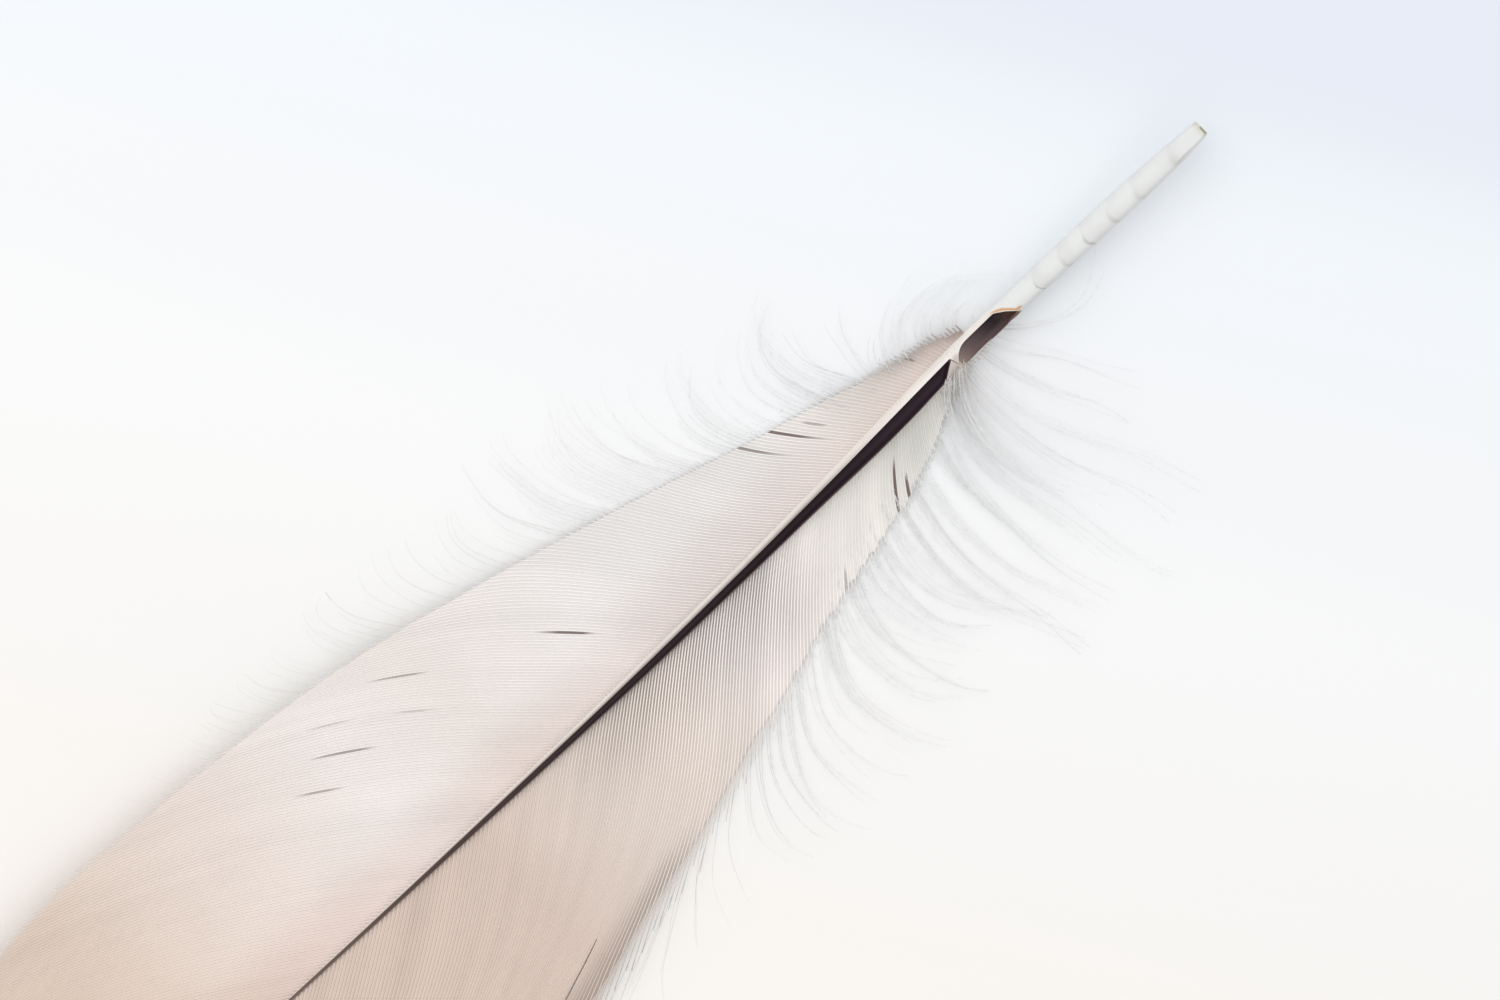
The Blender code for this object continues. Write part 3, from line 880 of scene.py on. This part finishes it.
def barbPlaces(vane, splits, roots, lines, reach, waves):
    # where the web's points lie, in metres, for each root's row of reaches
    push, dark, depth = splitAt(splits, roots[:, None], reach)
    station = readLines(lines, reach) + push
    share = reach / np.maximum(reach.max(axis=1, keepdims=True), 0.1)
    sway = vanes["sway"] * (waves(roots)[:, None] + 1.0) * ease(share * 1.6)
    height = webHeight(station, reach) + sway - depth
    return onTable(station, sideBow(station) + vane["side"] * reach, height), station, dark


def edgeTints(vane, station, outward):
    # how brown and how white the web is near its edge
    tints = []
    for key in ("brownEdge", "whiteEdge"):
        amount, last, first = vane[key]
        over, full = vanes[key]
        tints.append(amount * falling(station, last, over) * rising(outward, first, full - first))
    return tints


def barbTone(roots):
    waves = sum(size * softNoise(period)(roots) for size, period in vanes["toneWaves"])
    return 0.5 + waves + spread(vanes["toneChance"], len(roots))


def gapShade(vane, station, reach):
    # the web against the ridges on it: the barbules' duller colour with painted shade between the ridges,
    # deeper in the given gaps
    fadesIn, fadesOut, outwards = vanes["gapFades"]
    deeper, first, last, farther = vane["gaps"]
    deeper = deeper * rising(station, first, fadesIn) * falling(station, last, fadesOut)
    shade = curveThrough(vane["webShade"])(station) - deeper * (1 - (1 - farther) * ease(reach / outwards))
    deeper, first, fromShare = vane["edgeGapShade"]
    outward = reach / np.maximum(edgeReach(vane, station), 0.1)
    atEdge = rising(outward, fromShare, vanes["edgeGapShare"])
    return shade - deeper * rising(station, first, fadesIn) * atEdge


def webAttributes(station, reach, tones, u, **others):
    inner, outer = (tone[:, None] for tone in tones)
    return {
        "along": station / lie["featherEnd"],
        "reach": reach / vanes["flowEnd"],
        "tone": inner * (1 - u) + outer * u,
        **others,
    }


def makeVane(vane, barbBlank):
    print("vane:", vane["name"])
    roots = barbRoots(vane)
    rings = vanes["rings"]
    lines = flowLines(vane, roots)
    edge = barbLengths(vane, lines)
    missing, last = vane["raggedEdge"]
    byChance, inWaves, period = vanes["torn"]
    torn = byChance * dice.uniform(0, 1, len(roots)) + inWaves * (1 + softNoise(period)(roots))
    edge = edge * (1 - missing * torn * falling(roots, last, vanes["tornOver"]))
    splits = settleSplits(vane, roots, lines)
    waves = softNoise(vanes["swayPeriod"])
    tones = barbTone(roots), barbTone(roots)
    u = np.linspace(0, 1, rings)[None, :]

    # the ridges, one to a barb, ending in fine points past the web's edge
    start = startReach(vane, roots)
    edgeStation = readLines(lines, edge[:, None])[:, 0]
    overhang = curveThrough(vane["overhang"])(edgeStation)
    overhang = overhang * dice.uniform(*vanes["endChance"], len(roots))
    leaning = np.gradient(lines, vanes["flowStep"], axis=1)
    past = (overhang / np.hypot(1, readLines(leaning, edge[:, None])[:, 0]))[:, None]
    reach = start[:, None] + (edge[:, None] + past - start[:, None]) * u
    paths, station, dark = barbPlaces(vane, splits, roots, lines, reach, waves)
    paths[..., 2] += vanes["ridgeLift"] * mm
    beyond = np.clip((reach - edge[:, None]) / np.maximum(past, 0.05), 0, 1)
    onWeb, pastWeb = vanes["narrowing"]
    narrow = (1 - onWeb * u) * (1 - pastWeb * beyond) * mm
    spacing = readLines(np.gradient(lines, axis=0), reach) / np.hypot(1, readLines(leaning, reach))
    wide = 0.5 * vane["ridgeShare"] * np.clip(spacing, *vanes["spacings"]) * narrow
    tall = curveThrough(vane["barbHeight"])(station) * narrow
    brown, white = edgeTints(vane, station, reach / edge[:, None])
    pale = beyond * curveThrough(vane["paleEnds"])(edgeStation)[:, None]
    barbs = copyAlong(barbBlank, vane["name"], paths, wide, tall, webAttributes(
        station, reach, tones, u, shade=1 + white, pale=pale, dark=np.maximum(dark, brown),
    ))

    # the web between them, with close rows where it is split
    aside = vanes["splitRow"] * np.array([-1.0, 0.0, 1.0])
    middles = sorted({split[0] for split in splits})
    rows = np.sort(np.concatenate([roots] + [middle + aside for middle in middles]))
    edgeThere = np.interp(rows, roots, edge)
    deselectAll()
    bpy.ops.mesh.primitive_grid_add(x_subdivisions=rings - 1, y_subdivisions=len(rows) - 1, size=1.0)
    web = bpy.context.object
    grid = corners(web) + 0.5
    column = np.rint(grid[:, 0] * (rings - 1)).astype(int)
    row = np.rint(grid[:, 1] * (len(rows) - 1)).astype(int)
    start = startReach(vane, rows)
    reach = start[:, None] + (edgeThere - start)[:, None] * u
    places, station, dark = barbPlaces(vane, splits, rows, flowLines(vane, rows), reach, waves)
    web.data.vertices.foreach_set("co", places[row, column].ravel())
    brown, white = edgeTints(vane, station, reach / edgeThere[:, None])
    shade = gapShade(vane, station, reach) + vanes["whiteGaps"] * white
    values = webAttributes(
        station, reach, [np.interp(rows, roots, tone) for tone in tones], u,
        shade=shade, pale=0 * reach, dark=np.maximum(dark, brown),
    )
    writeAttributes(web.data, {key: value[row, column] for key, value in values.items()})
    web.data.update()

    # the wide open splits are cut out of it near the edge
    def inSplit(face):
        faceRows = [rows[row[v]] for v in face.vertices]
        low, high = min(faceRows), max(faceRows)
        middle = np.mean([reach[row[v], column[v]] for v in face.vertices])
        return any(
            low <= root < high and first + vanes["cutFrom"] * (last - first) < middle
            for root, first, last, gap, *rest in splits if gap > vanes["cutGap"]
        )

    pickParts(web, "FACE", inSplit)
    bpy.ops.mesh.delete(type="FACE")
    bpy.ops.mesh.select_all(action="SELECT")
    bpy.ops.mesh.delete_loose()
    if vane["side"] < 0:
        bpy.ops.mesh.select_all(action="SELECT")
        bpy.ops.mesh.flip_normals()
    setMode("OBJECT")
    wall = web.modifiers.new("wall", "SOLIDIFY")
    wall.thickness = vanes["webThickness"] * mm
    wall.offset = 0.0
    bpy.ops.object.modifier_apply(modifier="wall")
    bpy.ops.object.shade_smooth_by_angle(angle=math.radians(vanes["smoothUnder"]))
    return joinPieces(vane["name"], [barbs, web]), splits, roots, edge, overhang


def vaneMaterial(vane):
    material, tree, surface = newMaterial(vane["name"], vanes["roughness"])
    colour = colourRamp(tree, readValue(tree, "along"), vane["colours"], 0, lie["featherEnd"])
    beside = fadeOut(tree, readValue(tree, "reach"), *vanes["warmReach"])
    warm = times(tree, beside, vane["warmth"])
    colour = mixColour(tree, warm, colour, vanes["warmColour"], blend="MULTIPLY")
    span = 0.5 * vane["toneSpan"]
    tone = between(tree, readValue(tree, "tone"), 1 - span, 1 + span)
    scale, darkest, lightest = vanes["blotches"]
    blotch = between(tree, noiseOn(tree, scale), darkest, lightest)
    total = times(tree, readValue(tree, "shade"), tone, blotch)
    colour = mixColour(tree, 1.0, colour, total, blend="MULTIPLY")
    colour = mixColour(tree, readValue(tree, "pale"), colour, vane["endColour"])
    # the dark attribute: painted shadow in the splits, and the brown at the base
    colour = mixColour(tree, readValue(tree, "dark"), colour, vanes["darkColour"])
    setSocket(tree, surface.inputs["Base Color"], colour)
    return material


# the down: loose barbs past the web's edge and at the base, each with fine hairs

leftDown = {
    "name": "leftDown",
    "guides": (  # root, length, angle to the shaft at the start, each third and the end
        (23.4, 2.5, 110, 140, 165, 180), (25.4, 5, 100, 150, 180, 195), (27, 9.5, 95, 165, 195, 210),
        (28.4, 16.5, 95, 178, 205, 218), (29.6, 10, 100, 140, 170, 190), (30.4, 7, 92, 112, 130, 150),
        (31.2, 9, 62, 70, 90, 112), (32.7, 14.2, 66, 78, 110, 172), (34.5, 12, 62, 78, 108, 150),
        (36.8, 11, 60, 82, 112, 155), (38.5, 11, 58, 78, 104, 138), (41, 13, 56, 68, 86, 114),
        (44, 13.6, 58, 68, 90, 118), (50, 11.6, 56, 70, 98, 124), (55, 9.8, 55, 70, 94, 118),
        (60, 7.5, 52, 66, 86, 104), (66, 4.2, 50, 60, 72, 84), (71, 2.4, 48, 54, 60, 64),
    ),
    "bunch": 0.9,  # roots between two bunches
    "pull": 0.4,  # how far the strands of a bunch close up
    "shortest": 0.12,
    "turns": 13,
    "extra": (24, 34, 0.45),  # more strands between these roots, and their pitch
    "keep": 0.85,  # share of the barbs that go on as strands
    "width": 0.027,
    "hairPitch": 0.22,
    "hairLength": 0.42,
    "hairsUntil": 58,  # root of the last hairy strand
    "startsIn": (0.5, 1),  # roots of the extra strands, of the reach of the web's edge
    "lift": 0,  # of the roots above the web
}
rightDown = {
    "name": "rightDown",
    "guides": (
        (23.3, 13.5, 130, 152, 192, 220), (23.8, 12, 124, 138, 155, 150),
        (24.3, 15.5, 110, 128, 118, 112), (25.2, 17.5, 95, 118, 118, 114),
        (26.2, 23.5, 84, 108, 115, 108), (28, 31, 78, 96, 106, 102), (29.3, 21, 62, 88, 106, 110),
        (31, 20, 70, 96, 107, 104), (33.2, 21, 72, 92, 104, 110), (34.4, 17.2, 66, 94, 111, 136),
        (36.3, 16, 64, 87, 108, 134), (39.6, 19, 57, 78, 107, 135), (42, 17.4, 51, 64, 102, 126),
        (44, 16, 50, 60, 96, 126), (46.5, 15, 45, 54, 84, 114), (49, 13.5, 40, 48, 70, 100),
        (51.5, 12, 34, 36, 48, 66), (54, 11, 28, 24, 24, 30), (58, 9, 23, 18, 17, 18),
        (63, 6, 20, 16, 14, 14),
    ),
    "bunch": 0.95,
    "pull": 0.72,
    "shortest": 0.4,
    "turns": 8,
    "extra": (23.3, 42, 0.45),
    "keep": 0.8,
    "width": 0.026,
    "hairPitch": 0.2,
    "hairLength": 0.66,
    "hairsUntil": 47,
    "startsIn": (0.5, 1),
    "lift": 0,
}
bridgeDown = {
    "name": "bridgeDown",  # the tuft that grows over the bridge between the pit and the groove
    "guides": (
        (25.4, 12, 72, 100, 118, 112), (26.4, 16.5, 56, 88, 112, 116), (27.2, 19, 48, 80, 110, 118),
        (28.3, 18, 46, 72, 102, 112),
    ),
    "bunch": 0.55,
    "pull": 0.5,
    "shortest": 0.35,
    "turns": 6,
    "extra": (26.5, 28.6, 0.08),
    "keep": 0,
    "width": 0.034,
    "hairPitch": 0.2,
    "hairLength": 0.6,
    "hairsUntil": 29,
    "startsIn": (0.12, 0.45),
    "lift": 0.95,
}
strand = {
    "rings": 20,
    "rise": 1.6,
    "riseChance": (0.3, 1.15),
    "risePower": 1.6,
    "aboveWeb": 0.05,
    "rootChance": 0.1,
    "leastReach": 0.3,
    "startShift": (0.5, 0.8),  # of a barb's overhang, and back from there on the right
    "bunchChance": 0.3,
    "bunchSize": (0.72, 1.04),
    "ownRoot": 0.4,  # how much a strand goes by its own root and not by its bunch's
    "wave": (8, 9, 0.8),  # degrees, how close, and how much the strands differ in it
    "tipTurn": 16,
    "toneChance": 0.25,
    "pullOver": 1.6,
    "liftOver": 6,
    "softLimit": 0.08,  # of the farthest reach
    "thickness": (0.7, 1.2),
    "taper": 0.6,
    "brownRoots": (0.3, 26.5, 3),
    "hairWidth": 0.0085,
    "hairsOn": (0.02, 0.97),  # of a strand
    "hairLean": (22, 55),
    "hairUp": (-0.25, 0.5),
    "hairSize": (0.5, 1.2),
    "hairFall": 0.7,
    "lookAhead": 0.03,
    "rootColour": (0.76, 0.71, 0.67),
    "colour": (0.94, 0.94, 0.935),
    "hairColour": (0.98, 0.98, 0.98),
    "rootFade": (0, 0.3),
    "toneSpan": (0.86, 1.02),
    "roughness": 0.8,
    "darkStrands": (43, 5, 1.5),  # on the right, those from this root on get greyer, over this length
    "reachOut": (23.8, 26),  # farthest across, on the left and on the right
}


def bunchMeans(values, bunch, count):
    return np.array([values[bunch == k].mean() if (bunch == k).any() else 0 for k in range(count)])


def walkOut(start, steps):
    # place at each ring, from the root on
    return np.cumsum(np.column_stack((start, steps)), axis=1)


def pointsOn(path, where):
    # at these shares of the path's length
    shares = np.linspace(0, 1, len(path))
    return np.stack([np.interp(where, shares, row) for row in path.T], axis=1)


def makeDown(vane, down, splits, roots, edge, overhang, strandBlank, hairBlank):
    print("down:", down["name"])
    isRight = vane["side"] > 0
    rings = strand["rings"]
    table = np.array(down["guides"])
    last = table[-1, 0]
    kept = (roots < last) & (dice.uniform(0, 1, len(roots)) < down["keep"])
    extra = np.arange(*down["extra"])
    extra = extra + spread(strand["rootChance"], len(extra))
    allRoots = np.concatenate((roots[kept], extra))
    outwards, back = strand["startShift"]
    barbEdge = edge[kept] + outwards * overhang[kept] - back * isRight
    extraEdge = barbLengths(vane, flowLines(vane, extra)) * dice.uniform(*down["startsIn"], len(extra))
    allEdge = np.maximum(np.concatenate((barbEdge, extraEdge)), strand["leastReach"])
    count = len(allRoots)

    # each strand follows the path of its bunch as far as its own length goes
    middles = np.arange(table[0, 0], last, down["bunch"])
    many = len(middles)
    middles = middles + spread(strand["bunchChance"], many) * down["bunch"]
    bunchSize = dice.uniform(*strand["bunchSize"], many)
    bunchTurn = spread(down["turns"], many)
    bunchTone = dice.uniform(0.0, 1.0, many)
    bunchWave = dice.uniform(0.0, 6.3, many)
    bunch = np.argmin(np.abs(allRoots[:, None] - middles[None, :]), axis=1)
    isLeader = np.diff(bunch, prepend=-1) != 0
    follow = np.where(isLeader, 1.0, dice.uniform(down["shortest"], 1.0, count))[:, None]
    own = strand["ownRoot"]
    center = (1 - own) * middles[bunch] + own * allRoots
    length, *angles = (np.interp(center, table[:, 0], guide) for guide in table.T[1:])
    lengths = length * bunchSize[bunch] * follow[:, 0]

    u = np.linspace(0, 1, rings)[None, :]
    part = (u[:, 1:] + u[:, :-1]) / 2 * follow
    angles = np.stack(angles, axis=1)
    thirds = np.clip(part * 3, 0, 3)
    low = np.minimum(thirds.astype(int), 2)
    rowAt = np.arange(count)[:, None]
    turn = angles[rowAt, low] + (thirds - low) * (angles[rowAt, low + 1] - angles[rowAt, low])
    turn += (bunchTurn[bunch] + 0.5 * down["turns"] * dice.uniform(-1, 1, count))[:, None] * part
    swing, closeness, differ = strand["wave"]
    phase = bunchWave[bunch][:, None] + dice.uniform(0, differ, (count, 1))
    turn += swing * part * np.sin(closeness * part + phase)
    tipTurn = spread(strand["tipTurn"], count) * ~isLeader
    turn += tipTurn[:, None] * np.clip(part - 0.5 * follow, 0, 1)
    turn = np.radians(turn)
    step = (lengths / (rings - 1))[:, None]
    push = splitAt(splits, allRoots, allEdge)[0]
    startStation = readLines(flowLines(vane, allRoots), allEdge[:, None])[:, 0] + push
    tone = np.clip(bunchTone[bunch] + spread(strand["toneChance"], count), 0, 1)
    first, over, darker = strand["darkStrands"]
    tone -= darker * rising(allRoots, first, over) * isRight
    close = down["pull"] * ease(u * follow * strand["pullOver"])
    station, reach = (
        walkOut(start, step * slope) - close * (start - bunchMeans(start, bunch, many)[bunch])[:, None]
        for start, slope in ((startStation, np.cos(turn)), (allEdge, np.sin(turn)))
    )
    rise = strand["rise"] * dice.uniform(*strand["riseChance"], count)[:, None]
    height = webHeight(startStation, allEdge)[:, None] + strand["aboveWeb"]
    height = height + rise * u ** strand["risePower"]
    height += down["lift"] * (1 - ease(strand["liftOver"] * u * follow))
    farthest = strand["reachOut"][isRight]
    soft = strand["softLimit"] * farthest
    past = np.clip(reach - (farthest - soft), 0, None)
    across = sideBow(startStation)[:, None] + vane["side"] * (reach - past + soft * np.tanh(past / soft))
    paths = onTable(station, across, height)
    thickness = down["width"] * dice.uniform(*strand["thickness"], count)[:, None] * mm
    thickness = thickness * (1 - strand["taper"] * u)
    brown, first, over = strand["brownRoots"]
    strands = copyAlong(strandBlank, down["name"], paths, thickness, thickness, {
        "out": np.maximum(u * follow, brown * rising(allRoots, first, over)[:, None]),
        "hair": 0 * thickness,
        "tone": tone[:, None] + 0 * thickness,
    })

    # hairs along the strands, leaning to their tips on both sides
    starts, ends, tones = [], [], []
    for k in np.flatnonzero(allRoots < down["hairsUntil"]):
        hairCount = int(lengths[k] / down["hairPitch"]) * 2
        where = np.sort(dice.uniform(*strand["hairsOn"], hairCount))
        at = pointsOn(paths[k], where)
        forward = pointsOn(paths[k], np.minimum(where + strand["lookAhead"], 1)) - at
        forward /= np.maximum(np.linalg.norm(forward, axis=1, keepdims=True), 1e-9)
        sideways = np.cross([0.0, 0.0, 1.0], forward) * np.where(np.arange(hairCount) % 2, 1, -1)[:, None]
        lean = np.radians(dice.uniform(*strand["hairLean"], hairCount))[:, None]
        direction = forward * np.cos(lean) + sideways * np.sin(lean)
        direction[:, 2] += dice.uniform(*strand["hairUp"], hairCount)
        size = down["hairLength"] * dice.uniform(*strand["hairSize"], hairCount)
        size = size * (1 - strand["hairFall"] * where) * mm
        starts.append(at)
        ends.append(at + direction * size[:, None])
        tones.append(np.full(hairCount, tone[k]))
    starts, ends, tones = np.concatenate(starts), np.concatenate(ends), np.concatenate(tones)
    ends[:, 2] = np.maximum(ends[:, 2], 0.02 * mm)
    hairPaths = np.stack((starts, ends), axis=1)
    thin = np.full(hairPaths.shape[:2], strand["hairWidth"] * mm)
    hairs = copyAlong(hairBlank, down["name"] + "Hairs", hairPaths, thin, thin, {
        "out": 0 * thin, "hair": 0 * thin + 1, "tone": tones[:, None] + 0 * thin,
    })
    return joinPieces(down["name"], [strands, hairs])


def downMaterial():
    material, tree, surface = newMaterial("down", strand["roughness"])
    out = readValue(tree, "out")
    outer = fadeIn(tree, out, *strand["rootFade"])
    colour = mixColour(tree, outer, strand["rootColour"], strand["colour"])
    for factor in (times(tree, out, 0.5), readValue(tree, "hair")):
        colour = mixColour(tree, factor, colour, strand["hairColour"])
    tone = between(tree, readValue(tree, "tone"), *strand["toneSpan"])
    colour = mixColour(tree, 1.0, colour, tone, blend="MULTIPLY")
    setSocket(tree, surface.inputs["Base Color"], colour)
    return material


# table, light and camera

stage = {
    "floorSize": 3,
    "floorRoughness": 0.9,
    "floorPaintedLight": (  # painted light over the table's pale colour, bluer and dimmer round the quill's end and warmer towards the vanes: from above the quill to below the vanes
        (-0.3, 0.85, 0.856, 0.865), (-0.15, 0.8, 0.82, 0.856), (-0.08, 0.733, 0.77, 0.846),
        (-0.06, 0.824, 0.855, 0.886), (-0.038, 0.844, 0.852, 0.867),
        (-0.026, 0.864, 0.866, 0.867), (0, 0.861, 0.853, 0.838), (0.015, 0.876, 0.846, 0.817),
        (0.04, 0.893, 0.861, 0.838),
    ),
    "floorSlant": 0.6,
    "sky": 0.785,
    "key": {"energy": 11.8, "size": 1.8, "place": (-0.1, -1, 1.2)},
    "fill": {"energy": 2.3, "size": 2, "place": (1, 1, 1.6)},
    "tilt": 18,  # of the view, from straight above towards -Y
    "turnRight": (-0.7224, 0.6914), # the photo's right, along X and along the tilted Y
    "target": (-22.4, -5.47, 0.5),
    "distance": 1.2,
    "viewWidth": 120,
    "sensor": 36,
    "viewEnds": 20,
}


def makeFloor():
    deselectAll()
    bpy.ops.mesh.primitive_plane_add(size=stage["floorSize"], location=(0, 0, 0))
    floor = bpy.context.object
    floor.name = "table"
    material, tree, surface = newMaterial("table", stage["floorRoughness"])
    surface.inputs["Specular IOR Level"].default_value = 0.0
    place = tree.nodes.new("ShaderNodeTexCoord")
    split = tree.nodes.new("ShaderNodeSeparateXYZ")
    tree.links.new(place.outputs["Object"], split.inputs[0])
    # the ramp paints uneven light on the table: bluer by the quill, warmer by the vanes
    stops = stage["floorPaintedLight"]
    first, last = stops[0][0], stops[-1][0]
    slanted = times(tree, split.outputs["Y"], stage["floorSlant"])
    across = compute(tree, "SUBTRACT", compute(tree, "ADD", split.outputs["X"], slanted), first)
    place = compute(tree, "DIVIDE", across, last - first, clamp=True)
    colour = colourRamp(tree, place, stops, first, last, blending="EASE")
    setSocket(tree, surface.inputs["Base Color"], colour)
    floor.data.materials.append(material)


def addSoftbox(name, settings):
    bpy.ops.object.light_add(type="AREA", location=settings["place"])
    box = bpy.context.object
    box.name = name
    box.data.shape = "DISK"
    box.data.size = settings["size"]
    box.data.energy = settings["energy"]
    box.rotation_euler = (-Vector(settings["place"])).to_track_quat("-Z", "Y").to_euler()


def lightUp():
    world = bpy.context.scene.world or bpy.data.worlds.new("studio")
    bpy.context.scene.world = world
    world.use_nodes = True
    background = world.node_tree.nodes["Background"]
    background.inputs["Color"].default_value = (1.0, 1.0, 1.0, 1.0)
    background.inputs["Strength"].default_value = stage["sky"]
    addSoftbox("keyLight", stage["key"])
    addSoftbox("fillLight", stage["fill"])
    bpy.context.scene.view_settings.view_transform = "Standard"


def placeCamera():
    tilt = math.radians(stage["tilt"])
    alongX = Vector((1, 0, 0))
    tiltedY = Vector((0, math.cos(tilt), math.sin(tilt)))
    a, b = stage["turnRight"]
    right = a * alongX + b * tiltedY
    up = -b * alongX + a * tiltedY
    back = right.cross(up)
    target = Vector(stage["target"]) * mm
    place = Matrix((right, up, back)).transposed().to_4x4()
    place.translation = target + back * stage["distance"]
    bpy.ops.object.camera_add()
    camera = bpy.context.object
    camera.matrix_world = place
    camera.data.sensor_width = stage["sensor"]
    camera.data.lens = stage["sensor"] * stage["distance"] / (stage["viewWidth"] * mm)
    camera.data.clip_end = stage["viewEnds"]
    bpy.context.scene.camera = camera


print("shaft")
shaftPiece = makeShaft()
shaftPiece.data.materials.append(hornMaterial())

print("barb and strand shapes")
barbBlank = modelTube("barbShape", 4, vanes["rings"])
strandBlank = modelTube("strandShape", 3, strand["rings"])
hairBlank = modelAlongX("hairShape", bpy.ops.mesh.primitive_cone_add, vertices=3, radius1=1.0, radius2=0.0)

dressed = [(shaftPiece, "quill")]
downLook = downMaterial()
for vane, downs in ((leftVane, [leftDown]), (rightVane, [rightDown, bridgeDown])):
    piece, *barbs = makeVane(vane, barbBlank)
    piece.data.materials.append(vaneMaterial(vane))
    fringe = joinPieces(downs[0]["name"], [
        makeDown(vane, down, *barbs, strandBlank, hairBlank) for down in downs
    ])
    fringe.data.materials.append(downLook)
    dressed += [(piece, "vane"), (fringe, "down")]

for blank in (barbBlank, strandBlank, hairBlank):
    bpy.data.objects.remove(blank, do_unlink=True)

for piece, slot in dressed:
    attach(piece, "root")
    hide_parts("feather")
    print(piece.name, "triangles", sum(len(face.vertices) - 2 for face in piece.data.polygons))

print("table, light and camera")
makeFloor()
lightUp()
placeCamera()
